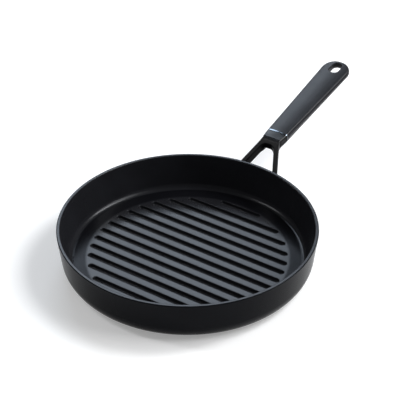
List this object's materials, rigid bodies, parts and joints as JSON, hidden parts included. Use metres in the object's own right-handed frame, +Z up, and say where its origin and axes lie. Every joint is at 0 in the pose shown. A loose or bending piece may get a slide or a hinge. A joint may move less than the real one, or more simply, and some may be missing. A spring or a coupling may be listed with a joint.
{
  "type": "grill pan",
  "caption": "Round grill pan with a ribbed floor, a low wall, a forked handle bracket and a long grip with a hanging hole.",
  "frame": {"origin": "centre of the pan's underside, on the surface it stands on", "axes": "+X along the handle, away from the pan; +Z up, out of the pan's mouth; +Y across the handle, along the ribs"},
  "size_m": [0.4679, 0.2798, 0.098],
  "materials": {
    "pan_coating": "cast aluminium with a satin dark grey non-stick coating",
    "base_plate": "turned stainless steel",
    "bracket": "cast, painted satin black",
    "fastener": "plain stainless steel",
    "gasket": "black silicone",
    "accent_ring": "polished stainless steel",
    "grip_core": "moulded black plastic",
    "grip_cover": "soft-touch dark grey"
  },
  "bodies": {
    "root": {"pan_body": "pan_coating", "base_plate": "base_plate", "fork_bracket": "bracket", "wall_studs": "fastener", "dome_nuts": "fastener", "ring_gasket": "gasket", "accent_ring": "accent_ring", "grip_core": "grip_core", "grip_cover": "grip_cover", "grip_screw": "fastener", "screw_washer": "fastener"}
  },
  "joints": []
}
